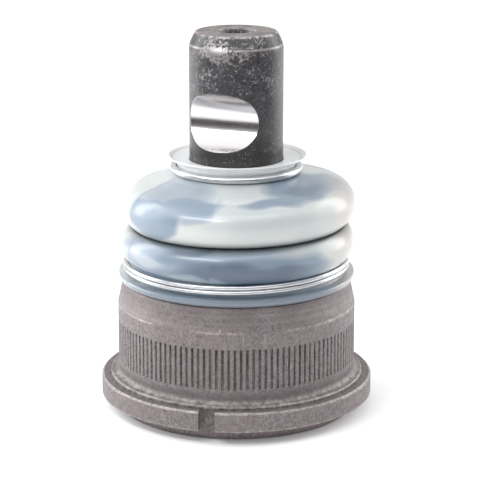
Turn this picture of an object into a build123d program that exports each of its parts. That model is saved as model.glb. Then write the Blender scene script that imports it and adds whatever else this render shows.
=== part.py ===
from build123d import *
from math import acos, atan2, ceil, cos, degrees, radians, sin, sqrt, tan
import os

# A press-in suspension ball joint with a pinch-bolt stud.
# Millimetres and degrees. The origin is the centre of the base, +Z runs up the
# stud, and -Y points at the locating notch in the flange. Heights are above the
# base unless a name says what they are measured from.

# ---- Housing, outside ----
body_diameter = 46.2
body_height = 20.8
lead_in_diameter = 44.64
shoulder_height = 24.4
flange_diameter = 52.9
flange_bottom = 2.7
flange_thickness = 3.75
flange_chamfer = 0.4
step_diameter = 49.3
step_height = 0.68
step_edge_radius = 0.3
body_fillet = 1.05
skirt_diameter = 47.2
notch_width = 3.15
notch_depth = 1.7
notch_angle = -90.0

# ---- Press-fit serrations ----
serration_count = 125
serration_bottom = 9.8
serration_length = 7.85
serration_width = 0.54
serration_depth = 0.32
serration_flank = 32.0

# ---- Housing, inside ----
rim_thickness = 1.6
rim_radius = 1.3
rim_opening = 37.6
mouth_angle = 52.0
mouth_lip = 0.6
mouth_chamfer = 0.4
boot_groove_diameter = 39.0
boot_groove_width = 5.2
collar_diameter = 40.6
collar_chamfer = 0.8

# ---- Closing plate, its seal and the preload spring ----
plate_diameter = 40.6
plate_thickness = 2.5
plate_dish_diameter = 13.0
plate_dish_depth = 0.7
plate_dish_flank = 45.0
seal_section = 1.2
spring_outer = 29.0
spring_inner = 17.0
spring_thickness = 0.8
spring_height = 1.4

# ---- Bearing shells ----
shell_wall = 1.9
shell_floor = 1.7
shell_gap = 0.4
shell_mouth_angle = 60.0
shell_drain_diameter = 6.0
grease_groove_count = 6
grease_groove_width = 1.8
grease_groove_depth = 0.5

# ---- Ball stud ----
ball_diameter = 28.0
ball_flat_height = 0.4
neck_diameter = 14.0
neck_fillet = 2.5
neck_length = 17.7
shank_cone_length = 4.5
shank_cone_fillet = 4.0
pin_diameter = 18.0
pin_length = 52.3
pin_end_diameter = 15.6
pin_end_length = 2.5
pin_end_radius = 0.5
centre_hole_diameter = 7.0
centre_pilot_diameter = 3.2
centre_pilot_depth = 8.0
centre_hole_angle = 60.0
bolt_groove_radius = 6.2
bolt_groove_depth = 3.3
bolt_groove_height = 36.0
bolt_groove_angle = -101.0

# ---- Dust boot ----
boot_wall = 1.2
boot_bead_diameter = 45.9
boot_bead_radius = 1.65
boot_sleeve_wall = 1.45
lower_fold_diameter = 45.26
lower_fold_radius = 3.9
lower_fold_height = 8.36
upper_fold_diameter = 44.8
upper_fold_radius = 4.6
fold_pitch = 7.29
crown_slope = 16.0
neck_seat_height = 1.4
lip_diameter = 26.6
lip_tip = 0.35
lip_root = 0.6
lip_rise = 1.75
lip_dish = 0.5

# ---- Boot support ring and clamp rings ----
support_ring_wall = 1.3
support_ring_height = 3.1
neck_wall = 1.0
neck_wire = 1.35
neck_ring_gap = 8.0
neck_ring_gap_angle = 100.0
base_wire = 0.9
base_ring_turns = 1.95
base_ring_pitch = 0.95
base_ring_end_angle = 5.0
base_ring_seat_rise = 0.9

# ---- Clearances ----
ball_clearance = 0.05
shell_clearance = 0.03
plate_clearance = 0.05
seal_clearance = 0.04
pin_clearance = 0.05
boot_clearance = 0.05

# ---- Radii and heights that follow from the sizes above ----
body_radius = body_diameter / 2
flange_radius = flange_diameter / 2
flange_top = flange_bottom + flange_thickness
step_top = flange_top + step_height
plate_bottom = rim_thickness
plate_top = plate_bottom + plate_thickness
plate_bore_radius = plate_diameter / 2 + plate_clearance
seal_groove_size = seal_section + 2 * seal_clearance

ball_radius = ball_diameter / 2
socket_radius = ball_radius + ball_clearance
shell_radius = socket_radius + shell_wall
seat_radius = shell_radius + shell_clearance
shell_bottom = plate_top + spring_height
ball_centre = shell_bottom + shell_floor + socket_radius

mouth_radius = seat_radius * sin(radians(mouth_angle))
mouth_bottom = ball_centre + seat_radius * cos(radians(mouth_angle))
housing_top = mouth_bottom + mouth_lip
boot_groove_radius = boot_groove_diameter / 2
boot_groove_top = shoulder_height + boot_groove_width

pin_radius = pin_diameter / 2
pin_top = ball_centre + pin_length
neck_top = ball_centre + neck_length
shank_bottom = neck_top + shank_cone_length

sleeve_inner_radius = boot_groove_radius + boot_clearance
sleeve_radius = sleeve_inner_radius + boot_sleeve_wall
sleeve_bottom = shoulder_height + boot_clearance
bead_centre = (boot_bead_diameter / 2 - boot_bead_radius, sleeve_bottom + boot_bead_radius)
lower_fold = (lower_fold_diameter / 2 - lower_fold_radius, shoulder_height + lower_fold_height)
upper_fold = (upper_fold_diameter / 2 - upper_fold_radius, lower_fold[1] + fold_pitch)

support_ring_inner = pin_radius + pin_clearance
support_ring_radius = support_ring_inner + support_ring_wall
neck_inner_radius = support_ring_radius + boot_clearance
neck_seat_radius = neck_inner_radius + neck_wall
neck_ring_radius = neck_seat_radius + boot_clearance + neck_wire / 2

# The crown leaves the upper fold where the fold has the crown's slope, and runs
# straight up to the seat of the neck ring.
crown_foot = (
    upper_fold[0] + upper_fold_radius * sin(radians(crown_slope)),
    upper_fold[1] + upper_fold_radius * cos(radians(crown_slope)),
)
neck_seat_bottom = crown_foot[1] + (crown_foot[0] - neck_seat_radius) * tan(radians(crown_slope))
neck_seat_top = neck_seat_bottom + neck_seat_height
neck_ring_height = neck_seat_bottom + neck_wire / 2 - boot_clearance
lip_radius = lip_diameter / 2
lip_top = neck_seat_top + lip_rise
lip_inner_top = lip_top - lip_dish
support_ring_top = lip_inner_top - lip_root - boot_clearance
support_ring_bottom = support_ring_top - support_ring_height

base_ring_radius = sleeve_radius + boot_clearance + base_wire / 2
base_ring_seat = bead_centre[1] + base_ring_seat_rise
base_ring_bottom = base_ring_seat + boot_clearance + base_wire / 2


def corner(section, radius, height):
    """The corner of a section nearest to a radius and a height."""
    return section.vertices().sort_by_distance((radius, height, 0))[0]


def facing(angle, radius, height):
    """A plane at a radius and height that looks outwards at an angle round the stud, its own Y upwards."""
    outward = Vector(cos(radians(angle)), sin(radians(angle)), 0)
    origin = outward * radius + Vector(0, 0, height)
    return Plane(origin=origin, x_dir=Vector(-outward.Y, outward.X, 0), z_dir=outward)


def circle_crossing(lower, lower_radius, upper, upper_radius):
    """The outer one of the two points where two circles of a section cross."""
    across, up = upper[0] - lower[0], upper[1] - lower[1]
    distance = sqrt(across**2 + up**2)
    along = (lower_radius**2 - upper_radius**2 + distance**2) / (2 * distance)
    aside = sqrt(lower_radius**2 - along**2)
    return (
        lower[0] + (across * along + up * aside) / distance,
        lower[1] + (up * along - across * aside) / distance,
    )


def angle_on(centre, point):
    """The angle at which a point of a section lies round a centre."""
    return degrees(atan2(point[1] - centre[1], point[0] - centre[0]))


# ---- Housing ----
# One turned forging: the rolled rim holds the closing plate, the flange stops the
# joint in the arm, and the neck above the shoulder carries the boot.
with BuildPart() as housing:
    with BuildSketch(Plane.XZ) as housing_section:
        with BuildLine():
            Polyline(
                (seat_radius, ball_centre),
                (seat_radius, plate_top),
                (plate_bore_radius, plate_top),
                (plate_bore_radius, plate_bottom),
                (rim_opening / 2, plate_bottom),
                (rim_opening / 2, 0),
                (skirt_diameter / 2, 0),
                (skirt_diameter / 2, flange_bottom),
                (flange_radius, flange_bottom),
                (flange_radius, flange_top),
                (step_diameter / 2, flange_top),
                (step_diameter / 2, step_top),
                (body_radius, step_top),
                (body_radius, body_height),
                (lead_in_diameter / 2, shoulder_height),
                (boot_groove_radius, shoulder_height),
                (boot_groove_radius, boot_groove_top),
                (collar_diameter / 2, boot_groove_top),
                (collar_diameter / 2, housing_top),
                (mouth_radius, housing_top),
                (mouth_radius, mouth_bottom),
            )
            CenterArc((0, ball_centre), seat_radius, 0, 90 - mouth_angle)
        make_face()
        chamfer(corner(housing_section, flange_radius, flange_top), flange_chamfer)
        chamfer(corner(housing_section, collar_diameter / 2, housing_top), collar_chamfer)
        chamfer(corner(housing_section, mouth_radius, housing_top), mouth_chamfer)
        fillet(corner(housing_section, skirt_diameter / 2, 0), rim_radius)
        fillet(corner(housing_section, step_diameter / 2, step_top), step_edge_radius)
        fillet(corner(housing_section, body_radius, step_top), body_fillet)
        # The seal's groove opens downwards, over the edge of the closing plate.
        with Locations((plate_bore_radius - seal_groove_size / 2, plate_top + seal_groove_size / 2)):
            Rectangle(seal_groove_size, seal_groove_size, mode=Mode.SUBTRACT)
    revolve(axis=Axis.Z)

    # The notch that sets the joint's angle in the arm runs the flange's full height.
    with BuildSketch(facing(notch_angle, flange_radius, flange_bottom + flange_thickness / 2)):
        Rectangle(notch_width, flange_thickness)
    extrude(amount=-notch_depth, mode=Mode.SUBTRACT)

    # Serrations: upright V grooves with sloping ends, cut into the press land.
    serration_height = serration_bottom + serration_length / 2
    with BuildSketch(
        *[
            facing(notch_angle + 360 * turn / serration_count, body_radius, serration_height)
            for turn in range(serration_count)
        ]
    ):
        Rectangle(serration_width, serration_length)
    extrude(amount=-serration_depth, taper=serration_flank, mode=Mode.SUBTRACT)
housing.part.label = "housing"
export_step(housing.part, "parts/housing.step")

# ---- Closing plate ----
# A pressed disc with a shallow dish in its middle, seated on the housing's inner step.
with BuildPart() as closing_plate:
    with BuildSketch(Plane.XY.offset(plate_bottom)):
        Circle(plate_diameter / 2)
    extrude(amount=plate_thickness)
    with BuildSketch(Plane.XY.offset(plate_top)):
        Circle(plate_dish_diameter / 2)
    extrude(amount=plate_dish_depth, taper=plate_dish_flank)
    with BuildSketch(Plane.XY.offset(plate_bottom)):
        Circle(plate_dish_diameter / 2)
    extrude(amount=plate_dish_depth, taper=plate_dish_flank, mode=Mode.SUBTRACT)
closing_plate.part.label = "closing_plate"
export_step(closing_plate.part, "parts/closing_plate.step")

# ---- Closing seal ring ----
# A square ring of rubber, pressed between the plate and the housing's groove.
with BuildPart() as closing_seal_ring:
    with BuildSketch(Plane.XZ):
        with Locations((plate_bore_radius - seal_groove_size / 2, plate_top + seal_groove_size / 2)):
            Rectangle(seal_section, seal_section)
    revolve(axis=Axis.Z)
closing_seal_ring.part.label = "closing_seal_ring"
export_step(closing_seal_ring.part, "parts/closing_seal_ring.step")

# ---- Preload spring ----
# A disc spring: its outer edge stands on the plate and its inner edge lifts the shell.
with BuildPart() as preload_spring:
    with BuildSketch(Plane.XZ):
        with BuildLine():
            Polyline(
                (spring_outer / 2, plate_top),
                (spring_outer / 2, plate_top + spring_thickness),
                (spring_inner / 2, plate_top + spring_height),
                (spring_inner / 2, plate_top + spring_height - spring_thickness),
                close=True,
            )
        make_face()
    revolve(axis=Axis.Z)
preload_spring.part.label = "preload_spring"
export_step(preload_spring.part, "parts/preload_spring.step")

# ---- Bearing shells ----
# The space that the grease grooves of both shells take: upright slices, all round,
# of a ball slightly larger than the socket.
with BuildPart() as grease_space:
    with BuildSketch():
        with PolarLocations(socket_radius, grease_groove_count):
            Rectangle(2 * socket_radius, grease_groove_width)
    extrude(amount=2 * ball_centre)
    with Locations((0, 0, ball_centre)):
        Sphere(socket_radius + grease_groove_depth, mode=Mode.INTERSECT)

# The lower shell is a cup under the ball with a drain through its floor.
with BuildPart() as lower_bearing_shell:
    with BuildSketch(Plane.XZ):
        with BuildLine():
            Polyline(
                (shell_drain_diameter / 2, shell_bottom),
                (shell_radius, shell_bottom),
                (shell_radius, ball_centre - shell_gap / 2),
                (shell_drain_diameter / 2, ball_centre - shell_gap / 2),
                close=True,
            )
        make_face()
        with Locations((0, ball_centre)):
            Circle(socket_radius, mode=Mode.SUBTRACT)
    revolve(axis=Axis.Z)
    add(grease_space.part, mode=Mode.SUBTRACT)
lower_bearing_shell.part.label = "lower_bearing_shell"
export_step(lower_bearing_shell.part, "parts/lower_bearing_shell.step")

# The upper shell is a ring of a thick sphere, cut off along a ray from the ball's centre.
with BuildPart() as upper_bearing_shell:
    with BuildSketch(Plane.XZ):
        with Locations((0, ball_centre)):
            Circle(shell_radius)
            Circle(socket_radius, mode=Mode.SUBTRACT)
        with BuildLine():
            Polyline(
                (0, ball_centre + shell_gap / 2),
                (2 * shell_radius, ball_centre + shell_gap / 2),
                (
                    2 * shell_radius * sin(radians(shell_mouth_angle)),
                    ball_centre + 2 * shell_radius * cos(radians(shell_mouth_angle)),
                ),
                close=True,
            )
        make_face(mode=Mode.INTERSECT)
    revolve(axis=Axis.Z)
    add(grease_space.part, mode=Mode.SUBTRACT)
upper_bearing_shell.part.label = "upper_bearing_shell"
export_step(upper_bearing_shell.part, "parts/upper_bearing_shell.step")

# ---- Ball stud ----
with BuildPart() as ball_stud:
    with BuildSketch(Plane.XZ) as stud_section:
        with Locations((0, ball_centre)):
            Circle(ball_radius)
        with BuildLine():
            Polyline(
                (0, ball_centre),
                (neck_diameter / 2, ball_centre),
                (neck_diameter / 2, neck_top),
                (pin_radius, shank_bottom),
                (pin_radius, pin_top - pin_end_length),
                (pin_end_diameter / 2, pin_top),
                (0, pin_top),
                close=True,
            )
        make_face()
        neck_root = ball_centre + sqrt(ball_radius**2 - (neck_diameter / 2) ** 2)
        fillet(corner(stud_section, neck_diameter / 2, neck_root), neck_fillet)
        fillet(corner(stud_section, neck_diameter / 2, neck_top), shank_cone_fillet)
        fillet(corner(stud_section, pin_radius, shank_bottom), shank_cone_fillet)
        fillet(corner(stud_section, pin_radius, pin_top - pin_end_length), shank_cone_fillet)
        fillet(corner(stud_section, pin_end_diameter / 2, pin_top), pin_end_radius)
        # Only the half beyond the axis is turned, above the flat under the ball.
        with Locations((0, ball_centre - ball_radius + ball_flat_height)):
            Rectangle(
                ball_diameter,
                2 * pin_top,
                align=(Align.MIN, Align.MIN),
                mode=Mode.INTERSECT,
            )
    revolve(axis=Axis.Z)

    # The centre hole that the stud was turned on.
    with Locations((0, 0, pin_top)):
        CounterSinkHole(
            centre_pilot_diameter / 2,
            centre_hole_diameter / 2,
            centre_pilot_depth,
            centre_hole_angle,
        )

    # The groove that the pinch bolt passes through lies across the pin.
    bolt_offset = pin_radius - bolt_groove_depth + bolt_groove_radius
    bolt_face = facing(bolt_groove_angle, bolt_offset, ball_centre + bolt_groove_height)
    with BuildSketch(Plane(bolt_face.origin, x_dir=bolt_face.z_dir, z_dir=bolt_face.x_dir)):
        Circle(bolt_groove_radius)
    extrude(amount=pin_diameter, both=True, mode=Mode.SUBTRACT)
ball_stud.part.label = "ball_stud"
export_step(ball_stud.part, "parts/ball_stud.step")

# ---- Dust boot ----
# Two folds of one wall, between a beaded sleeve on the housing and a neck on the stud.
crease = circle_crossing(lower_fold, lower_fold_radius, upper_fold, upper_fold_radius)
lower_start = -degrees(acos((sleeve_radius - lower_fold[0]) / lower_fold_radius))
lower_end = angle_on(lower_fold, crease)
upper_start = angle_on(upper_fold, crease)
sleeve_top = lower_fold[1] + lower_fold_radius * sin(radians(lower_start))
with BuildPart() as dust_boot:
    with BuildSketch(Plane.XZ):
        # The folds and the crown are one wall of even thickness.
        with BuildLine():
            CenterArc(lower_fold, lower_fold_radius, lower_start, lower_end - lower_start)
            CenterArc(upper_fold, upper_fold_radius, upper_start, 90 - crown_slope - upper_start)
            Line(crown_foot, (neck_seat_radius, neck_seat_bottom))
            offset(amount=boot_wall, side=Side.LEFT)
        make_face()
        # The sleeve grips the housing's groove, with a round bead over the shoulder.
        with BuildLine():
            Polyline(
                (sleeve_inner_radius, sleeve_bottom),
                (sleeve_radius, sleeve_bottom),
                (sleeve_radius, sleeve_top),
                (sleeve_radius - boot_wall / 2, sleeve_top + boot_wall),
                (sleeve_inner_radius, sleeve_top),
                close=True,
            )
        make_face()
        with Locations(bead_centre):
            Circle(boot_bead_radius)
        # The collar of the housing and the base ring each take their room.
        with Locations((0, boot_groove_top - boot_clearance)):
            Rectangle(
                collar_diameter / 2 + boot_clearance,
                housing_top - boot_groove_top,
                align=(Align.MIN, Align.MIN),
                mode=Mode.SUBTRACT,
            )
        with Locations((sleeve_radius, base_ring_seat)):
            Rectangle(
                base_wire + 3 * boot_clearance,
                sleeve_top - base_ring_seat,
                align=(Align.MIN, Align.MIN),
                mode=Mode.SUBTRACT,
            )
        # The neck wraps the support ring and flares into a thin lip round the pin.
        with BuildLine():
            Polyline(
                (lip_radius, lip_top - lip_tip),
                (lip_radius, lip_top),
                (support_ring_inner, lip_inner_top),
                (support_ring_inner, lip_inner_top - lip_root),
                (neck_inner_radius, lip_inner_top - lip_root),
                (neck_inner_radius, neck_seat_bottom - boot_wall),
                (neck_seat_radius, neck_seat_bottom - boot_wall),
                (neck_seat_radius, neck_seat_top),
            )
            EllipticalCenterArc(
                (lip_radius, neck_seat_top),
                lip_radius - neck_seat_radius,
                lip_rise - lip_tip,
                start_angle=90,
                arc_size=90,
            )
        make_face()
    revolve(axis=Axis.Z)
dust_boot.part.label = "dust_boot"
export_step(dust_boot.part, "parts/dust_boot.step")

# ---- Boot support ring ----
# A plain bush in the boot's neck that lets the pin turn while the boot stays still.
with BuildPart() as boot_support_ring:
    with BuildSketch(Plane.XY.offset(support_ring_bottom)):
        Circle(support_ring_radius)
        Circle(support_ring_inner, mode=Mode.SUBTRACT)
    extrude(amount=support_ring_height)
boot_support_ring.part.label = "boot_support_ring"
export_step(boot_support_ring.part, "parts/boot_support_ring.step")

# ---- Neck clamp ring ----
# One open turn of wire, with its ends at the back.
ring_start = radians(neck_ring_gap_angle + neck_ring_gap / 2)
with BuildPart() as neck_clamp_ring:
    with BuildSketch(
        Plane(
            (0, 0, neck_ring_height),
            x_dir=(cos(ring_start), sin(ring_start), 0),
            z_dir=(sin(ring_start), -cos(ring_start), 0),
        )
    ):
        with Locations((neck_ring_radius, 0)):
            Circle(neck_wire / 2)
    revolve(axis=Axis.Z, revolution_arc=360 - neck_ring_gap)
neck_clamp_ring.part.label = "neck_clamp_ring"
export_step(neck_clamp_ring.part, "parts/neck_clamp_ring.step")

# ---- Base clamp ring ----
# A flat coil of spring wire. Each half turn is a half torus, tilted so that it ends
# half a pitch higher and level, and the next one takes over there.
with BuildPart() as base_clamp_ring:
    for half in range(ceil(2 * base_ring_turns)):
        start_angle = radians(base_ring_end_angle - 360 * base_ring_turns + 180 * half)
        start_height = base_ring_bottom + base_ring_pitch / 2 * half
        outward = Vector(cos(start_angle), sin(start_angle), 0) * base_ring_radius
        start = outward + Vector(0, 0, start_height)
        along = Vector(-sin(start_angle), cos(start_angle), 0)
        middle = Vector(0, 0, start_height + base_ring_pitch / 4)
        with BuildSketch(Plane(start, x_dir=outward, z_dir=along)):
            Circle(base_wire / 2)
        revolve(
            axis=Axis(middle, (start - middle).cross(along)),
            revolution_arc=180 * min(1, 2 * base_ring_turns - half),
        )
base_clamp_ring.part.label = "base_clamp_ring"
export_step(base_clamp_ring.part, "parts/base_clamp_ring.step")
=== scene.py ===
import math

import bpy
import numpy as np
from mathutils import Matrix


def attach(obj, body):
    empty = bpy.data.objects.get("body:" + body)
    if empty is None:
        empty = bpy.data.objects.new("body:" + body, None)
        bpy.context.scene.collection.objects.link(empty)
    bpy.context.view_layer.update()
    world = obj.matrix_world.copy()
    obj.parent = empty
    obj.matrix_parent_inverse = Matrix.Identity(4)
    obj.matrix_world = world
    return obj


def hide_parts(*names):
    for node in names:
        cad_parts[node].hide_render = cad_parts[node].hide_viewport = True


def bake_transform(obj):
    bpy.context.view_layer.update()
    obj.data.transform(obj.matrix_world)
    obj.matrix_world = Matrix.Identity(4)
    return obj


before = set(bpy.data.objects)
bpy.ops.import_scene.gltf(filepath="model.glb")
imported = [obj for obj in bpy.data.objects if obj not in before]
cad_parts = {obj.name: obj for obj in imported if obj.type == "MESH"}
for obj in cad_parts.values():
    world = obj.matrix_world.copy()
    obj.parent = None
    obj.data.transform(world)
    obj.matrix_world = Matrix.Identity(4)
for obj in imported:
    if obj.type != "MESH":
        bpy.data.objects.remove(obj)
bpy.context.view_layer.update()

# Lengths are in metres, except the lens in millimetres, and angles are in degrees.
# The origin is the centre of the housing's base, +Z runs up the stud, and -Y points at
# the notch in the flange. Bearings are measured round the stud from -Y towards +X.
MM = 0.001

# ---- Viewpoint ----
VIEW_BEARING = 12.1
VIEW_DISTANCE = 0.3722
VIEW_HEIGHT = 0.1316
VIEW_TILT = 14.89
VIEW_ASIDE = 0.0007
LENS = 148.8

# ---- Dust boot ----
BOOT_WALL = 1.2 * MM
SLEEVE_INNER = 19.55 * MM
SLEEVE_OUTER = 21.0 * MM
SLEEVE_BOTTOM = 25.6 * MM
BEAD_RADIUS = 0.95 * MM
BEAD_REACH = 22.95 * MM
RING_SEAT = 27.0 * MM
COLLAR_RADIUS = 20.4 * MM
COLLAR_BOTTOM = 29.5 * MM
LOWER_FOLD = (18.73 * MM, 32.76 * MM)
LOWER_FOLD_RADIUS = 3.9 * MM
UPPER_FOLD = (17.8 * MM, 40.05 * MM)
UPPER_FOLD_RADIUS = 4.6 * MM
CROWN_SLOPE = 16.0
NECK_INNER = 10.4 * MM
NECK_OUTER = 11.4 * MM
NECK_HEIGHT = 1.4 * MM
LIP_RADIUS = 13.3 * MM
LIP_RISE = 1.75 * MM
LIP_TIP = 0.35 * MM
LIP_DISH = 0.85 * MM
LIP_EDGE = 0.3 * MM
LIP_ROOT = 0.6 * MM
PIN_BORE = 9.05 * MM
CREASE_DEPTH = 0.9 * MM
CREASE_WALL = 0.7 * MM
CREASE_EASE = 5.0
CREASE_REACH = 1.15 * MM
BOOT_LEAN = 0.6 * MM
BOOT_LEAN_RISE = 0.45 * MM
MOULD_LINE_BEARING = -53.0
BOOT_EDGE = 0.12 * MM
BOOT_TURNS = 240

# ---- Ball stud ----
PIN_RADIUS = 9.0 * MM
PIN_TOP = 73.6 * MM
CHAMFER_BOTTOM = 71.1 * MM
END_RADIUS = 7.8 * MM
HOLE_RADIUS = 3.5 * MM
GROOVE_RADIUS = 6.2 * MM
GROOVE_HEIGHT = 57.3 * MM
GROOVE_OFFSET = 11.9 * MM
GROOVE_BEARING = -11.0
# Where the black is rubbed through: turn from the front, height, reach, share.
WORN_SPOTS = [
    (-26, 70.1 * MM, 2.2 * MM, 0.095),
    (-10, 69.9 * MM, 2.0 * MM, 0.09),
    (-42, 70.4 * MM, 1.8 * MM, 0.08),
    (8, 70.2 * MM, 1.6 * MM, 0.07),
    (-24, 72.6 * MM, 3.6 * MM, 0.1),
    (6, 65.4 * MM, 4.2 * MM, 0.03),
    (-34, 64.5 * MM, 4.0 * MM, 0.03),
    (34, 66.0 * MM, 3.6 * MM, 0.03),
]

# ---- Housing ----
BODY_RADIUS = 23.1 * MM
BODY_TOP = 20.8 * MM
STEP_RADIUS = 24.65 * MM
STEP_TOP = 7.13 * MM
FLANGE_RADIUS = 26.45 * MM
FLANGE_TOP = 6.45 * MM
FLANGE_BOTTOM = 2.7 * MM
SERRATION_BOTTOM = 9.8 * MM
SERRATION_TOP = 17.65 * MM
SHOULDER_FOOT = (22.43 * MM, 23.9 * MM)
SHOULDER_TOP = (22.1 * MM, 25.55 * MM)
SHOULDER_EDGE = 0.25 * MM
NOTCH_HALF_WIDTH = 1.6 * MM
NOTCH_FRONT = -24.5 * MM

# ---- Studio ----
FLOOR_RADIUS = 3.0
SCREEN_RADIUS = 0.11
SCREEN_HEIGHT = 0.052
SCREEN_FOOT = -11.0
SCREEN_HALF_SPAN = 100.0
SCREEN_DARK_TOP = SCREEN_HEIGHT + 0.030
SCREEN_BRIGHT_FOOT = SCREEN_HEIGHT + 0.055
LAMP_TURN = 4.0
LAMP_BOTTOM = SCREEN_HEIGHT + 0.067
LAMP_TOP = SCREEN_HEIGHT + 0.075
AIM_HEIGHT = 0.035
SKY_STRENGTH = 0.85

# ---- Colours: linear red, green and blue ----
COAT_DARK = (0.100, 0.085, 0.088)
COAT_LIGHT = (0.250, 0.217, 0.223)
COAT_BLOOM = (0.270, 0.235, 0.240)
COAT_BROWN = (0.175, 0.146, 0.144)
COAT_TURNED = (0.33, 0.29, 0.285)
COAT_BOOT_SHADE = (0.095, 0.080, 0.082)
COAT_GROOVE_SHADE = (0.045, 0.038, 0.038)
COAT_CORNER_SHADE = (0.075, 0.064, 0.066)
COAT_WORN_AND_HIGHLIT = (0.50, 0.455, 0.445)
COAT_SCUFF = (0.5, 0.45, 0.43)
NOTCH_DARK = (0.06, 0.055, 0.052)
BLACK_DEEP = (0.018, 0.017, 0.019)
BLACK_LIGHT = (0.060, 0.057, 0.063)
BLACK_CLOUD = (0.075, 0.072, 0.078)
BLACK_FOOT_SHADE = (0.014, 0.013, 0.013)
BLACK_CONE = (0.012, 0.012, 0.014)
END_FACE = (0.17, 0.145, 0.14)
END_STAIN = (0.07, 0.062, 0.062)
END_TURNED = (0.30, 0.27, 0.265)
CHIPPED_STEEL = (0.27, 0.255, 0.26)
SCRATCHED_STEEL = (0.30, 0.29, 0.295)
RUBBED_RIM = (0.52, 0.50, 0.52)
MILLED_LOW = (0.70, 0.68, 0.69)
MILLED_HIGH = (0.84, 0.82, 0.83)
MILLED_SHADED = (0.42, 0.405, 0.41)
WIRE_LOW = (0.44, 0.45, 0.47)
WIRE_HIGH = (0.78, 0.79, 0.80)
WIRE_GRIME = (0.30, 0.29, 0.29)
BOOT_MILK = (0.43, 0.47, 0.475)
BOOT_CREAM = (0.50, 0.52, 0.51)
BOOT_WARM_SHADE = (0.40, 0.37, 0.35)
GREASE_THIN = (0.32, 0.36, 0.40)
GREASE_BLUE = (0.195, 0.25, 0.31)
GREASE_DEEP_AND_SHADE = (0.078, 0.112, 0.162)
BEAD_BLUE = (0.14, 0.156, 0.182)
LIP_WHITE = (0.80, 0.81, 0.82)
LIP_RIM = (0.36, 0.37, 0.39)
CREASE_SHADE = (0.030, 0.036, 0.035)
MOULD_LINE = (0.16, 0.17, 0.19)
STUDIO_DARK = (0.05, 0.04, 0.041)
STUDIO_BRIGHT = (1.25, 1.25, 1.27)
LAMP_GLOW = (11.0, 11.0, 11.0)


def direction(bearing):
    """Unit vector that points outwards at a bearing: (sin b, -cos b, 0)."""
    turned = math.radians(bearing)
    return np.array([math.sin(turned), -math.cos(turned), 0.0])


# ---- Shader helpers ----
def link(tree, source, socket):
    """Joins an output to an input, or sets the input where the source is a plain value."""
    if isinstance(source, bpy.types.NodeSocket):
        tree.links.new(source, socket)
    else:
        socket.default_value = source


def maths(tree, operation, *terms):
    """A Math node on up to three terms."""
    node = tree.nodes.new("ShaderNodeMath")
    node.operation = operation
    for socket, term in zip(node.inputs, terms):
        link(tree, term, socket)
    return node.outputs[0]


def product(tree, first, *others):
    """All the terms multiplied together."""
    for other in others:
        first = maths(tree, "MULTIPLY", first, other)
    return first


def line(tree, value, slope, start):
    """A straight line in a value: slope x value + start."""
    return maths(tree, "MULTIPLY_ADD", value, slope, start)


def hypotenuse(tree, across, up):
    """The length sqrt(across^2 + up^2)."""
    squares = maths(tree, "ADD", product(tree, across, across), product(tree, up, up))
    return maths(tree, "SQRT", squares)


def off_by(tree, value, middle):
    """How far a value lies from a middle, on either side."""
    return maths(tree, "ABSOLUTE", maths(tree, "SUBTRACT", value, middle))


def towards(tree, place, bearing):
    """How far a place lies out from the stud's axis in the direction of a bearing."""
    node = tree.nodes.new("ShaderNodeVectorMath")
    node.operation = "DOT_PRODUCT"
    tree.links.new(place, node.inputs[0])
    node.inputs[1].default_value = direction(bearing)
    return node.outputs["Value"]


def distance_to(tree, place, point):
    """The distance from a place to a fixed point."""
    node = tree.nodes.new("ShaderNodeVectorMath")
    node.operation = "DISTANCE"
    tree.links.new(place, node.inputs[0])
    node.inputs[1].default_value = point
    return node.outputs["Value"]


def band(tree, value, low, high):
    """Rises smoothly from 0 to 1 as a value goes from low to high; falls where high is below low."""
    node = tree.nodes.new("ShaderNodeMapRange")
    node.interpolation_type = "SMOOTHSTEP"
    link(tree, value, node.inputs["Value"])
    flipped = high < low
    node.inputs["From Min"].default_value = min(low, high)
    node.inputs["From Max"].default_value = max(low, high)
    node.inputs["To Min"].default_value = 1.0 if flipped else 0.0
    node.inputs["To Max"].default_value = 0.0 if flipped else 1.0
    return node.outputs["Result"]


def grain(tree, place, size, detail=3.0, roughness=0.5, stretch=(1, 1, 1), distortion=0.0):
    """Noise from 0 to 1 whose features are about one size across, and longer along each axis
    whose stretch is above 1."""
    mapping = tree.nodes.new("ShaderNodeMapping")
    mapping.inputs["Scale"].default_value = [1 / s for s in stretch]
    tree.links.new(place, mapping.inputs["Vector"])
    node = tree.nodes.new("ShaderNodeTexNoise")
    node.inputs["Scale"].default_value = 1 / size
    node.inputs["Detail"].default_value = detail
    node.inputs["Roughness"].default_value = roughness
    node.inputs["Distortion"].default_value = distortion
    tree.links.new(mapping.outputs[0], node.inputs["Vector"])
    return node.outputs["Fac"]


def tint(tree, amount, base, colour):
    """A base colour that turns into another by an amount from 0 to 1."""
    node = tree.nodes.new("ShaderNodeMix")
    node.data_type = "RGBA"
    link(tree, amount, node.inputs[0])
    for socket, shade in ((node.inputs[6], base), (node.inputs[7], colour)):
        link(tree, (*shade, 1) if isinstance(shade, tuple) else shade, socket)
    return node.outputs[2]


def relief(tree, height, depth, strength=1.0, under=None):
    """A Bump node whose full height is one depth."""
    node = tree.nodes.new("ShaderNodeBump")
    node.inputs["Strength"].default_value = strength
    node.inputs["Distance"].default_value = depth
    link(tree, height, node.inputs["Height"])
    if under is not None:
        tree.links.new(under, node.inputs["Normal"])
    return node.outputs[0]


def finish(name):
    """A new material: its tree, its shader, and the place on the object with its parts and its
    radius from the stud's axis."""
    material = bpy.data.materials.new(name)
    material.use_nodes = True
    tree = material.node_tree
    shader = tree.nodes["Principled BSDF"]
    place = tree.nodes.new("ShaderNodeTexCoord").outputs["Object"]
    parts = tree.nodes.new("ShaderNodeSeparateXYZ")
    tree.links.new(place, parts.inputs[0])
    x, y, z = parts.outputs
    return material, tree, shader, {"place": place, "x": x, "y": y, "z": z, "radius": hypotenuse(tree, x, y)}


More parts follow.
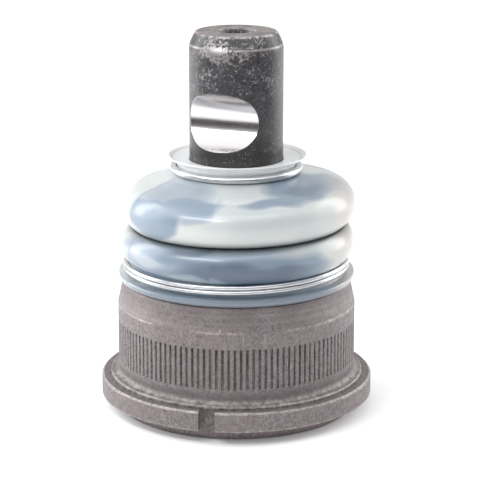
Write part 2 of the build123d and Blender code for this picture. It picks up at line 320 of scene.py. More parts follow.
def near_ring(tree, at, radius, height, reach):
    """1 on a ring round the stud's axis, falling to 0 at a distance of one reach from it."""
    across = maths(tree, "SUBTRACT", at["radius"], radius)
    up = maths(tree, "SUBTRACT", at["z"], height)
    return band(tree, hypotenuse(tree, across, up), reach, 0.3 * reach)


def dress(node, material):
    """Gives every slot of a CAD node one material."""
    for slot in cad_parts[node].material_slots:
        slot.material = material


# ---- Sections of the boot ----
def arc(centre, radius, start, end, count=24):
    """Points of a section on a circle: centre + radius (cos a, sin a), a from start to end."""
    turned = np.radians(np.linspace(start, end, count))
    return np.stack([centre[0] + radius * np.cos(turned), centre[1] + radius * np.sin(turned)], axis=1)


def oval_quarter(centre, across, up, count=10):
    """A quarter of an ellipse from its left point to its top: centre + (across cos a, up sin a),
    a from 180 to 90."""
    turned = np.radians(np.linspace(180, 90, count))
    return np.stack([centre[0] + across * np.cos(turned), centre[1] + up * np.sin(turned)], axis=1)


def run(start, end, count=12):
    """Points of a section on a straight line, both ends left out: start + t (end - start)."""
    share = np.linspace(0, 1, count + 2)[1:-1, None]
    return np.array(start) + share * (np.array(end) - np.array(start))


def bowl(start, end, count=14):
    """Points of a section that drops steeply from its start and levels out at its end: the
    radius runs evenly along t, and the height is end + (start - end) (1 - t)^4."""
    share = np.linspace(0, 1, count + 1)[:-1, None]
    level = end[1] + (start[1] - end[1]) * (1 - share) ** 4
    return np.concatenate([start[0] + share * (end[0] - start[0]), level], axis=1)


def angle_on(centre, point):
    """The angle at which a point of a section lies round a centre."""
    return math.degrees(math.atan2(point[1] - centre[1], point[0] - centre[0]))


def eased(outline, reach, count=4):
    """A closed outline with its corners rounded. Each corner P becomes the parabola
    (1-t)^2 (P-a) + 2t(1-t) P + t^2 (P+b), where a and b run along its two edges for one
    reach, or for 0.45 of a shorter edge."""
    back = outline - np.roll(outline, 1, axis=0)
    ahead = np.roll(outline, -1, axis=0) - outline
    back_length = np.linalg.norm(back, axis=1, keepdims=True)
    ahead_length = np.linalg.norm(ahead, axis=1, keepdims=True)
    a = back / back_length * np.minimum(reach, 0.45 * back_length)
    b = ahead / ahead_length * np.minimum(reach, 0.45 * ahead_length)
    t = np.linspace(0, 1, count)[None, :, None]
    corner = outline[:, None]
    curve = (1 - t) ** 2 * (corner - a[:, None]) + 2 * t * (1 - t) * corner + t**2 * (corner + b[:, None])
    return curve.reshape(-1, 2)


def lean(points):
    """The boot's folds sit a little to one side and tilt with it: each point moves by
    w (lean + rise s / fold radius), where s is how far it lies to that side and w is
    smoothstep in height above the base ring times smoothstep in radius beyond the neck."""
    side = direction(VIEW_BEARING + 90)
    radius = np.hypot(points[:, 0], points[:, 1])
    height = np.clip((points[:, 2] - COLLAR_BOTTOM) / (UPPER_FOLD[1] - COLLAR_BOTTOM), 0, 1)
    out = np.clip((radius - NECK_OUTER) / (UPPER_FOLD[0] - NECK_OUTER), 0, 1)
    weight = (height**2 * (3 - 2 * height) * out**2 * (3 - 2 * out))[:, None]
    aside = (points @ side)[:, None] / (UPPER_FOLD[0] + UPPER_FOLD_RADIUS)
    return points + weight * (BOOT_LEAN * side + aside * np.array([[0, 0, BOOT_LEAN_RISE]]))


def turned_mesh(name, outline, bearing, bend=None):
    """A closed section carried round the stud's axis: the point (r, z) of the section at the
    bearing b is (r sin b, -r cos b, z), bent where a bend is given. Both directions close on
    themselves."""
    turned = np.radians(bearing)[:, None]
    r, z = outline[:, 0][None], outline[:, 1][None]
    points = np.stack([r * np.sin(turned), -r * np.cos(turned), z + 0 * turned], axis=2).reshape(-1, 3)
    turns, rows = len(bearing), len(outline)
    turn, row = np.meshgrid(np.arange(turns), np.arange(rows), indexing="ij")
    next_turn, next_row = (turn + 1) % turns, (row + 1) % rows
    corners = [turn * rows + row, next_turn * rows + row, next_turn * rows + next_row, turn * rows + next_row]
    faces = np.stack([c.ravel() for c in corners], axis=1)
    mesh = bpy.data.meshes.new(name)
    mesh.from_pydata(points if bend is None else bend(points), [], faces.tolist())
    mesh.polygons.foreach_set("use_smooth", np.ones(len(faces), bool))
    mesh.update()
    piece = bpy.data.objects.new(name, mesh)
    bpy.context.scene.collection.objects.link(piece)
    return piece


def boot_shell(name, outline, foot, patches):
    """A turned section of the boot, with the lean. The attribute "grease" says how much grease
    lies behind the wall, measured down the wall from the section's point nearest the foot, and
    "crease" is exp(-(d / reach)^2) of the distance d from the crease."""
    bearing = np.arange(BOOT_TURNS) * 360 / BOOT_TURNS
    piece = turned_mesh(name, outline, bearing, lean)
    steps = np.linalg.norm(np.diff(outline, axis=0), axis=1)
    along = np.concatenate([[0], np.cumsum(steps)])
    below = along[np.argmin(np.hypot(*(outline - foot).T))] - along
    near = np.exp(-((np.hypot(*(outline - crease).T) / CREASE_REACH) ** 2)) + 0 * bearing[:, None]
    grease = smeared(bearing[:, None], below[None], patches)
    for attribute, values in (("grease", grease), ("crease", near)):
        store = piece.data.attributes.new(attribute, "FLOAT", "POINT")
        store.data.foreach_set("value", values.astype(np.float32).ravel())
    return piece


def smeared(bearing, below, patches):
    """Grease behind the wall, from ovals: each adds its share times smoothstep of
    (1 + e - d) / 2e, where e is how soft its edge is and d = sqrt((turn from its middle / half
    width)^2 + (height from its middle / half height)^2). Slow waves bend the ovals:
    turn + 3 sin(h / 1.7 + b / 15) + 1.2 sin(h / 0.7 - b / 7), h + 0.45 sin(b / 7 + h / 2.6)
    + 0.2 sin(b / 3.1 - h / 1.1). Shares above 0 join as the fourth root of the sum of their
    fourth powers, those below 0 are taken off, and the result is kept between none and full."""
    middle, down, half_width, half_height, share, soft = np.array(patches, float).T[:, :, None, None]
    fall = below / MM
    bent = bearing + 3 * np.sin(fall / 1.7 + bearing / 15) + 1.2 * np.sin(fall / 0.7 - bearing / 7)
    bent_fall = fall + 0.45 * np.sin(bearing / 7 + fall / 2.6) + 0.2 * np.sin(bearing / 3.1 - fall / 1.1)
    turn = (bent - VIEW_BEARING - middle + 180) % 360 - 180
    away = np.hypot(turn / half_width, (bent_fall - down) / half_height)
    edge = np.clip((1 + soft - away) / (2 * soft), 0, 1)
    parts = share * edge**2 * (3 - 2 * edge)
    joined = (np.maximum(parts, 0) ** 4).sum(axis=0) ** 0.25
    return np.clip(joined + np.minimum(parts, 0).sum(axis=0), 0, FULL)


def circle_crossing(lower, lower_radius, upper, upper_radius):
    """The outer one of the two points where two circles of a section cross."""
    across, up = upper[0] - lower[0], upper[1] - lower[1]
    distance = math.hypot(across, up)
    along = (lower_radius**2 - upper_radius**2 + distance**2) / (2 * distance)
    aside = math.sqrt(lower_radius**2 - along**2)
    return (
        lower[0] + (across * along + up * aside) / distance,
        lower[1] + (up * along - across * aside) / distance,
    )


crease = circle_crossing(LOWER_FOLD, LOWER_FOLD_RADIUS, UPPER_FOLD, UPPER_FOLD_RADIUS)
crown_angle = 90 - CROWN_SLOPE
slope = math.radians(CROWN_SLOPE)
crown_foot = (
    UPPER_FOLD[0] + UPPER_FOLD_RADIUS * math.sin(slope),
    UPPER_FOLD[1] + UPPER_FOLD_RADIUS * math.cos(slope),
)
neck_bottom = crown_foot[1] + (crown_foot[0] - NECK_OUTER) * math.tan(slope)
neck_top = neck_bottom + NECK_HEIGHT
lip_top = neck_top + LIP_RISE
lip_inner_top = lip_top - LIP_DISH
bead_centre = (BEAD_REACH - BEAD_RADIUS, SLEEVE_BOTTOM + BEAD_RADIUS)
bead_end = math.degrees(math.asin((RING_SEAT - bead_centre[1]) / BEAD_RADIUS))
fold_start = -math.degrees(math.acos((SLEEVE_OUTER - LOWER_FOLD[0]) / LOWER_FOLD_RADIUS))
collar_angle = -math.degrees(math.acos((COLLAR_RADIUS - LOWER_FOLD[0]) / (LOWER_FOLD_RADIUS - BOOT_WALL)))

# Where the folds meet, the wall turns in to a narrow gap.
lower_end = angle_on(LOWER_FOLD, crease)
upper_start = angle_on(UPPER_FOLD, crease)
gap_foot = (crease[0] - CREASE_DEPTH, crease[1])
gap_back = (crease[0] - CREASE_DEPTH - CREASE_WALL, crease[1])
lower_outline = np.concatenate([
    [(SLEEVE_INNER, SLEEVE_BOTTOM)],
    arc(bead_centre, BEAD_RADIUS, -90, bead_end),
    [(SLEEVE_OUTER, RING_SEAT)],
    arc(LOWER_FOLD, LOWER_FOLD_RADIUS, fold_start, lower_end - CREASE_EASE),
    [gap_foot, gap_back],
    arc(LOWER_FOLD, LOWER_FOLD_RADIUS - BOOT_WALL, lower_end, collar_angle, 16),
    [(COLLAR_RADIUS, COLLAR_BOTTOM), (SLEEVE_INNER, COLLAR_BOTTOM)],
])
upper_outline = np.concatenate([
    arc(UPPER_FOLD, UPPER_FOLD_RADIUS, upper_start + CREASE_EASE, crown_angle, 32),
    run(crown_foot, (NECK_OUTER, neck_bottom)),
    [(NECK_OUTER, neck_bottom)],
    oval_quarter((LIP_RADIUS, neck_top), LIP_RADIUS - NECK_OUTER, LIP_RISE - LIP_TIP),
    [(LIP_RADIUS, lip_top)],
    bowl((LIP_RADIUS - LIP_EDGE, lip_top), (PIN_BORE, lip_inner_top)),
    [(PIN_BORE, lip_inner_top), (PIN_BORE, lip_inner_top - LIP_ROOT), (NECK_INNER, lip_inner_top - LIP_ROOT)],
    [(NECK_INNER, neck_bottom - BOOT_WALL)],
    arc(UPPER_FOLD, UPPER_FOLD_RADIUS - BOOT_WALL, crown_angle, upper_start, 16),
    [gap_back, gap_foot],
])

# Grease patches, each an oval: its turn from the front in degrees, how far down the wall it
# lies in mm from the neck or from the crease, its half width in degrees and half height in mm,
# its share, and how soft its edge is. FULL is the most that patches add up to.
FULL = 1.8
UPPER_PATCHES = [
    (53, 4.1, 36, 4.9, 1.05, 0.25),
    (48, 5.6, 26, 3.0, 1.2, 0.7),
    (74, 5.2, 19, 4.2, 0.9, 0.4),
    (20, 8.3, 22, 1.6, 0.9, 0.4),
    (0, 4.0, 22, 3.4, 0.22, 0.7),
    (-27, 9.4, 15, 2.8, 0.95, 0.4),
    (-50, 13.2, 18, 4.4, 1.12, 0.2),
    (-42, 6.0, 28, 5.6, 0.7, 0.4),
    (150, 8.0, 40, 4.0, 0.9, 0.4),
    (-140, 11.0, 30, 4.0, 0.7, 0.4),
    (105, 12.0, 16, 3.0, 0.5, 0.4),
]
# On the lower fold, shares that add up past one reach the deepest tone, which is partly painted shade under
# the upper fold.
LOWER_PATCHES = [
    (-8, 4.5, 68, 6.0, 1.15, 0.25),
    (6, 5.8, 40, 3.4, 1.5, 0.7),
    (-26, 1.3, 20, 1.0, 1.3, 0.6),
    (-54, 4.2, 19, 1.2, -0.65, 0.6),
    (-22, 7.0, 13, 0.8, -0.7, 0.6),
    (42, 1.7, 24, 2.0, -0.85, 0.6),
    (66, 5.0, 16, 3.4, -0.5, 0.7),
    (0, 13.0, 68, 4.2, 1.15, 0.4),
    (140, 5.0, 50, 6.0, 0.9, 0.4),
    (-130, 4.0, 36, 6.0, 1.0, 0.4),
]
lower_outline = eased(lower_outline, BOOT_EDGE)
upper_outline = eased(upper_outline, BOOT_EDGE)
boot_lower = boot_shell("boot_lower_fold", lower_outline, crease, LOWER_PATCHES)
boot_upper = boot_shell("boot_upper_fold", upper_outline, (NECK_OUTER, neck_bottom), UPPER_PATCHES)

# The housing's lead-in goes on up to the bead, round the boot's sleeve.
rise = np.array([
    SHOULDER_FOOT,
    SHOULDER_TOP,
    (SLEEVE_INNER, SHOULDER_TOP[1]),
    (SLEEVE_INNER, SHOULDER_FOOT[1]),
])
shoulder = turned_mesh("housing_shoulder_rise", eased(rise, SHOULDER_EDGE), np.arange(240) * 1.5)


# ---- Finishes ----
def phosphated_steel():
    """Brown-grey phosphate coat on forged steel. Fine crystals and a cloudier mottle vary it,
    the edges that rub are lighter, painted shade darkens the serrations, the corners and the
    coat under the boot, the step's edge carries a painted highlight, and a few scuffs cross it."""
    material, tree, shader, at = finish("phosphated_steel_coat")
    place, z = at["place"], at["z"]
    crystals = grain(tree, place, 0.42 * MM, detail=4, roughness=0.8)
    clumps = grain(tree, place, 1.3 * MM, detail=5, roughness=0.7)
    mottle = grain(tree, place, 7 * MM, detail=5, roughness=0.6)
    colour = tint(tree, band(tree, crystals, 0.36, 0.64), COAT_DARK, COAT_LIGHT)
    colour = tint(tree, product(tree, band(tree, clumps, 0.45, 0.7), 0.55), colour, COAT_BLOOM)
    colour = tint(tree, product(tree, band(tree, mottle, 0.35, 0.7), 0.45), colour, COAT_BROWN)

    # The turned lead-in above the body has faint lines round it.
    lathe = grain(tree, place, 0.5 * MM, detail=2, stretch=(60, 60, 1))
    turned = band(tree, z, BODY_TOP - 0.3 * MM, BODY_TOP + 0.3 * MM)
    colour = tint(tree, product(tree, turned, 0.3, band(tree, lathe, 0.4, 0.65)), colour, COAT_TURNED)

    # Painted shade under the boot's bead: darker towards the boot, broken up by the mottle.
    near_boot = band(tree, z, BODY_TOP - 1 * MM, SHOULDER_TOP[1])
    colour = tint(tree, product(tree, near_boot, band(tree, mottle, 0.25, 0.6), 0.5), colour, COAT_BOOT_SHADE)

    # Serrations: painted shade in them below the land, uneven and mostly towards their tops.
    in_rows = product(
        tree,
        band(tree, z, SERRATION_BOTTOM - 0.05 * MM, SERRATION_BOTTOM + 0.1 * MM),
        band(tree, z, SERRATION_TOP + 0.05 * MM, SERRATION_TOP - 0.1 * MM),
    )
    ragged = line(tree, crystals, 0.16 * MM, at["radius"])
    below_land = band(tree, ragged, BODY_RADIUS, BODY_RADIUS - 0.15 * MM)
    row_streaks = band(tree, grain(tree, place, 1.5 * MM, detail=2, stretch=(1, 1, 5)), 0.36, 0.62)
    groove_shade = line(tree, band(tree, clumps, 0.3, 0.65), -0.4, line(tree, row_streaks, 0.55, 0.42))
    risen = band(tree, z, SERRATION_BOTTOM + 1 * MM, SERRATION_TOP - 1.5 * MM)
    groove_shade = product(tree, groove_shade, line(tree, risen, 0.4, 0.7))
    colour = tint(tree, product(tree, in_rows, below_land, groove_shade), colour, COAT_GROOVE_SHADE)

    # Painted shade in the corners at the foot of the body and of the step: radius, height, reach, share.
    for radius, height, reach, share in (
        (BODY_RADIUS + 0.2 * MM, STEP_TOP + 0.5 * MM, 2.4 * MM, 0.45),
        (STEP_RADIUS + 0.1 * MM, FLANGE_TOP, 0.5 * MM, 0.85),
    ):
        corner = near_ring(tree, at, radius, height, reach)
        colour = tint(tree, product(tree, corner, share), colour, COAT_CORNER_SHADE)

    # Lighter edges: radius, height, reach, share. The flange's edges are rubbed lighter and the body's top
    # edge is rubbed in stretches; the broad band on the step's edge is a painted highlight.
    stretches = band(tree, grain(tree, place, 11 * MM, detail=1), 0.42, 0.6)
    lead_in = near_ring(tree, at, BODY_RADIUS, BODY_TOP, 0.35 * MM)
    rubbed_and_highlit = product(tree, lead_in, stretches, 0.7)
    for radius, height, reach, share in (
        (FLANGE_RADIUS - 0.2 * MM, FLANGE_TOP - 0.15 * MM, 0.4 * MM, 0.6),
        (FLANGE_RADIUS, FLANGE_BOTTOM, 0.4 * MM, 0.5),
        # The step's edge: a painted highlight.
        (STEP_RADIUS - 0.45 * MM, STEP_TOP, 1.5 * MM, 0.62),
    ):
        edge = near_ring(tree, at, radius, height, reach)
        rubbed_and_highlit = maths(tree, "MAXIMUM", rubbed_and_highlit, product(tree, edge, share))
    speckle = band(tree, grain(tree, place, 1.1 * MM, detail=6, roughness=0.75), 0.36, 0.66)
    colour = tint(tree, product(tree, rubbed_and_highlit, speckle), colour, COAT_WORN_AND_HIGHLIT)

    # The notch's floor is darker in patches.
    notch = product(
        tree,
        band(tree, off_by(tree, at["x"], 0.0), NOTCH_HALF_WIDTH, NOTCH_HALF_WIDTH - 0.4 * MM),
        band(tree, at["y"], NOTCH_FRONT + 0.5 * MM, NOTCH_FRONT),
        band(tree, at["radius"], FLANGE_RADIUS - 0.15 * MM, FLANGE_RADIUS - 0.35 * MM),
        band(tree, z, FLANGE_TOP + 0.1 * MM, FLANGE_TOP - 0.2 * MM),
        band(tree, clumps, 0.42, 0.56),
    )
    colour = tint(tree, product(tree, notch, 0.75), colour, NOTCH_DARK)

    # A few short scuffs, mostly upright.
    streak = grain(tree, place, 0.35 * MM, detail=1, stretch=(1, 1, 9))
    patch = band(tree, grain(tree, place, 6 * MM, detail=2), 0.56, 0.66)
    scuff = product(tree, band(tree, streak, 0.7, 0.76), patch, 0.6)
    colour = tint(tree, scuff, colour, COAT_SCUFF)

    tree.links.new(colour, shader.inputs["Base Color"])
    shader.inputs["Metallic"].default_value = 0.45
    link(tree, line(tree, clumps, -0.2, 0.62), shader.inputs["Roughness"])
    fine = relief(tree, crystals, 0.07 * MM, 0.8)
    tree.links.new(relief(tree, clumps, 0.07 * MM, 0.6, under=fine), shader.inputs["Normal"])
    return material


def stud_scratches(tree, place, cloud, flakes, top_wear):
    """Thin lines along three ways where the coat is cloudy, and small loops near the top."""
    scratches = 0.0
    for turned, stretch in ((8, (1, 1, 14)), (-22, (1, 1, 10)), (74, (1, 1, 12))):
        mapping = tree.nodes.new("ShaderNodeMapping")
        mapping.inputs["Rotation"].default_value = (math.radians(turned), math.radians(turned), 0)
        tree.links.new(place, mapping.inputs["Vector"])
        lines = grain(tree, mapping.outputs[0], 0.3 * MM, detail=1, stretch=stretch)
        scratches = maths(tree, "MAXIMUM", scratches, band(tree, lines, 0.7, 0.74))
    scratches = product(tree, scratches, band(tree, cloud, 0.42, 0.6))
    curl = grain(tree, place, 2.6 * MM, detail=1, distortion=0.8)
    loops = band(tree, off_by(tree, curl, 0.5), 0.016, 0.006)
    loops = product(tree, loops, top_wear, band(tree, flakes, 0.46, 0.54))
    return maths(tree, "MAXIMUM", scratches, loops)


def milled_groove(tree, place, z):
    """The bolt groove: every point one groove radius from the groove's own axis. Gives how far
    a point is in it, its milling marks and its colour."""
    across = maths(tree, "SUBTRACT", towards(tree, place, GROOVE_BEARING), GROOVE_OFFSET)
    up = maths(tree, "SUBTRACT", z, GROOVE_HEIGHT)
    from_axis = hypotenuse(tree, across, up)
    bright = band(tree, from_axis, GROOVE_RADIUS + 0.06 * MM, GROOVE_RADIUS + 0.03 * MM)
    milled = grain(tree, place, 0.25 * MM, detail=3, stretch=(30, 4, 1))
    shaded = band(tree, z, GROOVE_HEIGHT + 0.5 * MM, GROOVE_HEIGHT + 4.5 * MM)
    steel = tint(tree, milled, MILLED_LOW, MILLED_HIGH)
    return bright, milled, tint(tree, product(tree, shaded, 0.75), steel, MILLED_SHADED)


def black_steel():
    """Black oxide on the stud, chipped to grey steel towards its top and along its edges and
    finely scratched, with a brown-grey end face and the bolt groove machined bright."""
    material, tree, shader, at = finish("black_oxide_steel")
    place, z = at["place"], at["z"]
    crystals = grain(tree, place, 0.45 * MM, detail=5, roughness=0.7)
    cloud = grain(tree, place, 3.5 * MM, detail=5, roughness=0.65)
    colour = tint(tree, band(tree, crystals, 0.3, 0.7), BLACK_DEEP, BLACK_LIGHT)
    colour = tint(tree, product(tree, band(tree, cloud, 0.4, 0.7), 0.5), colour, BLACK_CLOUD)
    # Painted shade from the boot's lip: darker towards the stud's foot.
    foot = band(tree, z, GROOVE_HEIGHT, GROOVE_HEIGHT - 7 * MM)
    colour = tint(tree, product(tree, foot, 0.6), colour, BLACK_FOOT_SHADE)

    # Chips: the level rises towards the top and in the worn spots, where more of the coat is off.
    top_wear = band(tree, z, PIN_TOP - 17 * MM, CHAMFER_BOTTOM)
    flakes = grain(tree, place, 0.6 * MM, detail=8, roughness=0.8)
    level = maths(tree, "ADD", flakes, line(tree, top_wear, 0.085, product(tree, cloud, 0.3)))
    for turn, height, reach, share in WORN_SPOTS:
        middle = direction(VIEW_BEARING + turn) * PIN_RADIUS + [0, 0, height]
        near = band(tree, distance_to(tree, place, middle), reach, 0.35 * reach)
        level = line(tree, near, share, level)
    chips = band(tree, level, 0.80, 0.84)
    corner = band(tree, off_by(tree, z, CHAMFER_BOTTOM), 0.32 * MM, 0.08 * MM)
    corner = product(tree, corner, band(tree, flakes, 0.38, 0.5), 0.9)
    chips = maths(tree, "MAXIMUM", chips, corner)

    # The end face is brown-grey, stained, and mottled by the lathe.
    end_face = band(tree, z, PIN_TOP - 0.6 * MM, PIN_TOP - 0.05 * MM)
    lathe = grain(tree, place, 0.6 * MM, detail=4, roughness=0.7)
    stain = band(tree, grain(tree, place, 4 * MM, detail=3), 0.45, 0.62)
    colour = tint(tree, end_face, colour, END_FACE)
    colour = tint(tree, product(tree, end_face, stain, 0.7), colour, END_STAIN)
    colour = tint(tree, product(tree, end_face, band(tree, lathe, 0.45, 0.7)), colour, END_TURNED)
    colour = tint(tree, chips, colour, CHIPPED_STEEL)

    # The coat is darkest on the cone below the end face, between its chips.
    cone = product(
        tree,
        band(tree, z, CHAMFER_BOTTOM + 0.1 * MM, CHAMFER_BOTTOM + 0.4 * MM),
        maths(tree, "SUBTRACT", 1.0, end_face),
        maths(tree, "SUBTRACT", 1.0, chips),
    )
    colour = tint(tree, product(tree, cone, 0.6), colour, BLACK_CONE)

    # The rims of the end face and of its hole are rubbed bright in stretches.
    outer_rim = near_ring(tree, at, END_RADIUS, PIN_TOP - 0.15 * MM, 0.42 * MM)
    hole_rim = product(tree, near_ring(tree, at, HOLE_RADIUS, PIN_TOP, 0.5 * MM), 0.6)
    stretches = band(tree, grain(tree, place, 2.4 * MM, detail=7, roughness=0.85), 0.46, 0.58)
    rims = product(tree, maths(tree, "MAXIMUM", outer_rim, hole_rim), stretches, 0.75)
    colour = tint(tree, rims, colour, RUBBED_RIM)

    scratches = stud_scratches(tree, place, cloud, flakes, top_wear)
    colour = tint(tree, product(tree, scratches, 0.7), colour, SCRATCHED_STEEL)
    bright, milled, steel = milled_groove(tree, place, z)
    tree.links.new(tint(tree, bright, colour, steel), shader.inputs["Base Color"])
    bare = maths(tree, "MAXIMUM", product(tree, chips, 0.7), bright)
    link(tree, line(tree, bare, 0.75, 0.25), shader.inputs["Metallic"])
    dull = line(tree, end_face, 0.2, line(tree, crystals, 0.22, 0.24))
    apart = maths(tree, "SUBTRACT", line(tree, milled, 0.08, 0.16), dull)
    link(tree, line(tree, bright, apart, dull), shader.inputs["Roughness"])
    plain = maths(tree, "SUBTRACT", 1.0, bright)
    pits = relief(tree, product(tree, crystals, plain), 0.04 * MM, 0.6)
    dents = product(tree, maths(tree, "ADD", chips, scratches), plain)
    tree.links.new(relief(tree, dents, -0.03 * MM, 0.6, under=pits), shader.inputs["Normal"])
    return material


def spring_wire():
    """Bright drawn spring steel, with faint draw marks and a little grime."""
    material, tree, shader, at = finish("bright_spring_wire")
    marks = grain(tree, at["place"], 0.35 * MM, detail=4, stretch=(5, 5, 1))
    grime = band(tree, grain(tree, at["place"], 2.2 * MM, detail=4), 0.6, 0.72)
    colour = tint(tree, marks, WIRE_LOW, WIRE_HIGH)
    colour = tint(tree, product(tree, grime, 0.35), colour, WIRE_GRIME)
    tree.links.new(colour, shader.inputs["Base Color"])
    shader.inputs["Metallic"].default_value = 1.0
    link(tree, line(tree, marks, 0.06, 0.29), shader.inputs["Roughness"])
    return material


def boot_polymer():
    """Glossy, milky boot polymer, whiter at the thin lip. Where grease lies behind the wall it
    looks slate blue, with soft edges; on the lower fold its deepest tone is also painted shade.
    Painted shade darkens the crease and the flank away from the grease, and a thin mould line
    runs down two sides."""
    material, tree, shader, at = finish("milky_boot_polymer")
    place, z, radius = at["place"], at["z"], at["radius"]
    stored = {}
    for name in ("grease", "crease"):
        node = tree.nodes.new("ShaderNodeAttribute")
        node.attribute_name = name
        stored[name] = node.outputs["Fac"]
    wisps = grain(tree, place, 9 * MM, detail=2, roughness=0.4, distortion=0.3)
    amount = maths(tree, "ADD", stored["grease"], line(tree, wisps, 0.24, -0.12))
    colour = tint(tree, band(tree, wisps, 0.3, 0.75), BOOT_MILK, BOOT_CREAM)
    colour = tint(tree, band(tree, amount, 0.1, 0.5), colour, GREASE_THIN)
    colour = tint(tree, band(tree, amount, 0.45, 1.0), colour, GREASE_BLUE)
    # The deepest tone is thick grease, and on the lower fold under the upper fold it is also painted shade.
    colour = tint(tree, band(tree, amount, 1.05, 1.6), colour, GREASE_DEEP_AND_SHADE)

    # The flank away from the grease is painted a darker, warmer cream: painted shade on that side.
    warm_shade = band(tree, towards(tree, place, VIEW_BEARING + 90), 15 * MM, 21 * MM)
    colour = tint(tree, product(tree, warm_shade, 0.75), colour, BOOT_WARM_SHADE)

    # The bead below the base ring is darker, and the lip is whiter with two darker rims.
    sleeve = band(tree, z, RING_SEAT + 0.3 * MM, RING_SEAT - 0.3 * MM)
    colour = tint(tree, product(tree, sleeve, band(tree, amount, 0.3, 1.2), 0.65), colour, BEAD_BLUE)
    lip = band(tree, z, neck_top - 0.3 * MM, neck_top + 0.5 * MM)
    colour = tint(tree, product(tree, lip, 0.9), colour, LIP_WHITE)
    outer_rim = band(tree, radius, LIP_RADIUS - 0.22 * MM, LIP_RADIUS - 0.08 * MM)
    inner_rim = band(tree, off_by(tree, radius, LIP_RADIUS - 0.95 * MM), 0.16 * MM, 0.05 * MM)
    rims = product(tree, lip, maths(tree, "MAXIMUM", outer_rim, inner_rim), 0.6)
    colour = tint(tree, rims, colour, LIP_RIM)
    # Painted shade in the crease under the upper fold.
    colour = tint(tree, product(tree, stored["crease"], 0.85), colour, CREASE_SHADE)

    aside = towards(tree, place, MOULD_LINE_BEARING + 90)
    seam = product(
        tree,
        band(tree, off_by(tree, aside, 0.0), 0.2 * MM, 0.08 * MM),
        band(tree, z, neck_bottom, neck_bottom - 0.6 * MM),
    )
    colour = tint(tree, product(tree, seam, 0.75), colour, MOULD_LINE)
    tree.links.new(colour, shader.inputs["Base Color"])
    smudge = grain(tree, place, 5 * MM, detail=1)
    link(tree, line(tree, smudge, 0.08, 0.29), shader.inputs["Roughness"])
    shader.inputs["Coat Weight"].default_value = 0.35
    shader.inputs["Coat Roughness"].default_value = 0.14
    shader.inputs["Subsurface Weight"].default_value = 0.35
    shader.inputs["Subsurface Radius"].default_value = (1.0, 1.0, 1.0)
    shader.inputs["Subsurface Scale"].default_value = 0.8 * MM
    tree.links.new(relief(tree, seam, 0.06 * MM, 0.8), shader.inputs["Normal"])
    return material


def moulded(name, low, high, size, roughness):
    """Plain moulded polymer or rubber whose colour wavers between two tones."""
    material, tree, shader, at = finish(name)
    flow = grain(tree, at["place"], size, detail=4)
    tree.links.new(tint(tree, flow, low, high), shader.inputs["Base Color"])
    link(tree, line(tree, flow, 0.15, roughness), shader.inputs["Roughness"])
    tree.links.new(relief(tree, flow, 0.03 * MM, 0.4), shader.inputs["Normal"])
    return material


coat = phosphated_steel()
wire = spring_wire()
bearing = moulded("bearing_acetal", (0.62, 0.60, 0.54), (0.72, 0.70, 0.64), 4 * MM, 0.3)
bush = moulded("white_bush_polymer", (0.66, 0.66, 0.65), (0.76, 0.76, 0.75), 3 * MM, 0.3)
rubber = moulded("black_seal_rubber", (0.015, 0.015, 0.016), (0.03, 0.03, 0.03), 1 * MM, 0.55)
for nodes, material in (
    (("housing", "closing_plate"), coat),
    (("ball_stud",), black_steel()),
    (("neck_clamp_ring", "base_clamp_ring", "preload_spring"), wire),
    (("lower_bearing_shell", "upper_bearing_shell"), bearing),
    (("boot_support_ring",), bush),
    (("closing_seal_ring",), rubber),
):
    for node in nodes:
        dress(node, material)

shoulder.data.materials.append(coat)
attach(shoulder, "housing")

boot_skin = boot_polymer()
for piece in (boot_lower, boot_upper):
    piece.data.materials.append(boot_skin)
    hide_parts("dust_boot")
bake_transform(boot_lower)
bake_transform(boot_upper)


# ---- Floor, screen, light and camera ----
def surface(name, points, faces, material):
    """A stage piece from its points and faces."""
    mesh = bpy.data.meshes.new(name)
    mesh.from_pydata(points.tolist(), [], faces.tolist())
    mesh.materials.append(material)
    piece = bpy.data.objects.new(name, mesh)
    bpy.context.scene.collection.objects.link(piece)
    return piece


def disc(radius, count=96):
    """A level disc on one face: its points are R (cos a, sin a, 0) at even steps of a."""
    rim = np.radians(np.arange(count) * 360 / count)
    return radius * np.stack([np.cos(rim), np.sin(rim), 0 * rim], axis=1), np.arange(count)[None]


def front_dome(radius, height, turns=40, rises=24):
    """The front part of a dome. Its point at the bearing b and the rise e is
    R (cos e sin b, -cos e cos b, sin e), lifted by its height."""
    bearing = VIEW_BEARING + np.linspace(-SCREEN_HALF_SPAN, SCREEN_HALF_SPAN, turns + 1)
    b = np.radians(bearing)[:, None]
    e = np.radians(np.linspace(SCREEN_FOOT, 90, rises + 1))[None]
    points = np.stack([np.cos(e) * np.sin(b), -np.cos(e) * np.cos(b), np.sin(e) + 0 * b], axis=2)
    turn, row = (g.ravel() for g in np.meshgrid(np.arange(turns), np.arange(rises), indexing="ij"))
    corner = turn * (rises + 1) + row
    faces = np.stack([corner, corner + rises + 1, corner + rises + 2, corner + 1], axis=1)
    return radius * points.reshape(-1, 3) + [0, 0, height], faces


def pale_floor():
    """A plain, very slightly glowing white floor."""
    material = bpy.data.materials.new("pale_floor")
    material.use_nodes = True
    shader = material.node_tree.nodes["Principled BSDF"]
    shader.inputs["Base Color"].default_value = (0.94, 0.94, 0.94, 1)
    shader.inputs["Roughness"].default_value = 0.9
    shader.inputs["Specular IOR Level"].default_value = 0.1
    shader.inputs["Emission Color"].default_value = (1, 1, 1, 1)
    shader.inputs["Emission Strength"].default_value = 0.06
    return material


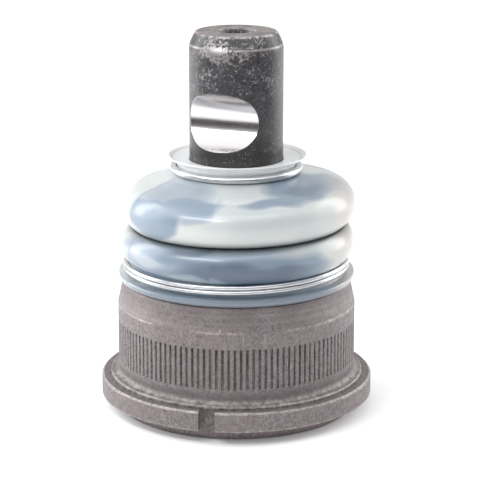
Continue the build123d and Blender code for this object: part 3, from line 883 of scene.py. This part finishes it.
def studio_side():
    """The side of the studio that reflections see: dark low down, bright overhead, and with a
    long lamp across the front."""
    material, tree, shader, at = finish("studio_side")
    shader.inputs["Base Color"].default_value = (0, 0, 0, 1)
    shader.inputs["Specular IOR Level"].default_value = 0.0
    shader.inputs["Emission Strength"].default_value = 1.0
    overhead = band(tree, at["z"], SCREEN_DARK_TOP, SCREEN_BRIGHT_FOOT)
    colour = tint(tree, overhead, STUDIO_DARK, STUDIO_BRIGHT)
    lamp = product(
        tree,
        band(tree, at["z"], LAMP_BOTTOM, LAMP_BOTTOM + 2 * MM),
        band(tree, at["z"], LAMP_TOP, LAMP_TOP - 2 * MM),
        band(tree, towards(tree, at["place"], VIEW_BEARING + LAMP_TURN), 54 * MM, 70 * MM),
    )
    tree.links.new(tint(tree, lamp, colour, LAMP_GLOW), shader.inputs["Emission Color"])
    return material


def softbox(name, bearing, height, distance, width, tall, power):
    """A lamp that shines at the middle of the boot and that the camera doesn't see."""
    lamp = bpy.data.lights.new(name, "AREA")
    lamp.shape = "RECTANGLE"
    lamp.size = width
    lamp.size_y = tall
    lamp.energy = power
    holder = bpy.data.objects.new(name, lamp)
    place = direction(bearing) * distance + np.array([0, 0, height])
    x, y, z = np.array([0, 0, AIM_HEIGHT]) - place
    holder.location = place
    holder.rotation_euler = (math.atan2(math.hypot(x, y), -z), 0, math.atan2(-x, y))
    holder.visible_camera = False
    bpy.context.scene.collection.objects.link(holder)


surface("floor", *disc(FLOOR_RADIUS), pale_floor())
screen = surface("reflected_studio", *front_dome(SCREEN_RADIUS, SCREEN_HEIGHT), studio_side())
for ray in ("camera", "diffuse", "shadow", "transmission"):
    setattr(screen, "visible_" + ray, False)

world = bpy.data.worlds.new("studio")
world.use_nodes = True
sky = world.node_tree.nodes["Background"]
sky.inputs["Color"].default_value = (1, 1, 1, 1)
sky.inputs["Strength"].default_value = SKY_STRENGTH
bpy.context.scene.world = world
bpy.context.scene.view_settings.view_transform = "Standard"

softbox("left_softbox", VIEW_BEARING - 105, height=0.25, distance=0.55, width=0.4, tall=0.5, power=3.6)
softbox("right_softbox", VIEW_BEARING + 110, height=0.25, distance=0.55, width=0.4, tall=0.5, power=2.6)
softbox("front_strip", VIEW_BEARING - 38, height=0.099, distance=0.093, width=0.085, tall=0.012, power=0.055)

lens = bpy.data.cameras.new("camera")
lens.lens = LENS
lens.clip_start = 0.01
camera = bpy.data.objects.new("camera", lens)
out, aside = direction(VIEW_BEARING), direction(VIEW_BEARING + 90)
camera.location = out * VIEW_DISTANCE + aside * VIEW_ASIDE + [0, 0, VIEW_HEIGHT]
camera.rotation_euler = (math.radians(90 - VIEW_TILT), 0, math.radians(VIEW_BEARING))
bpy.context.scene.collection.objects.link(camera)
bpy.context.scene.camera = camera
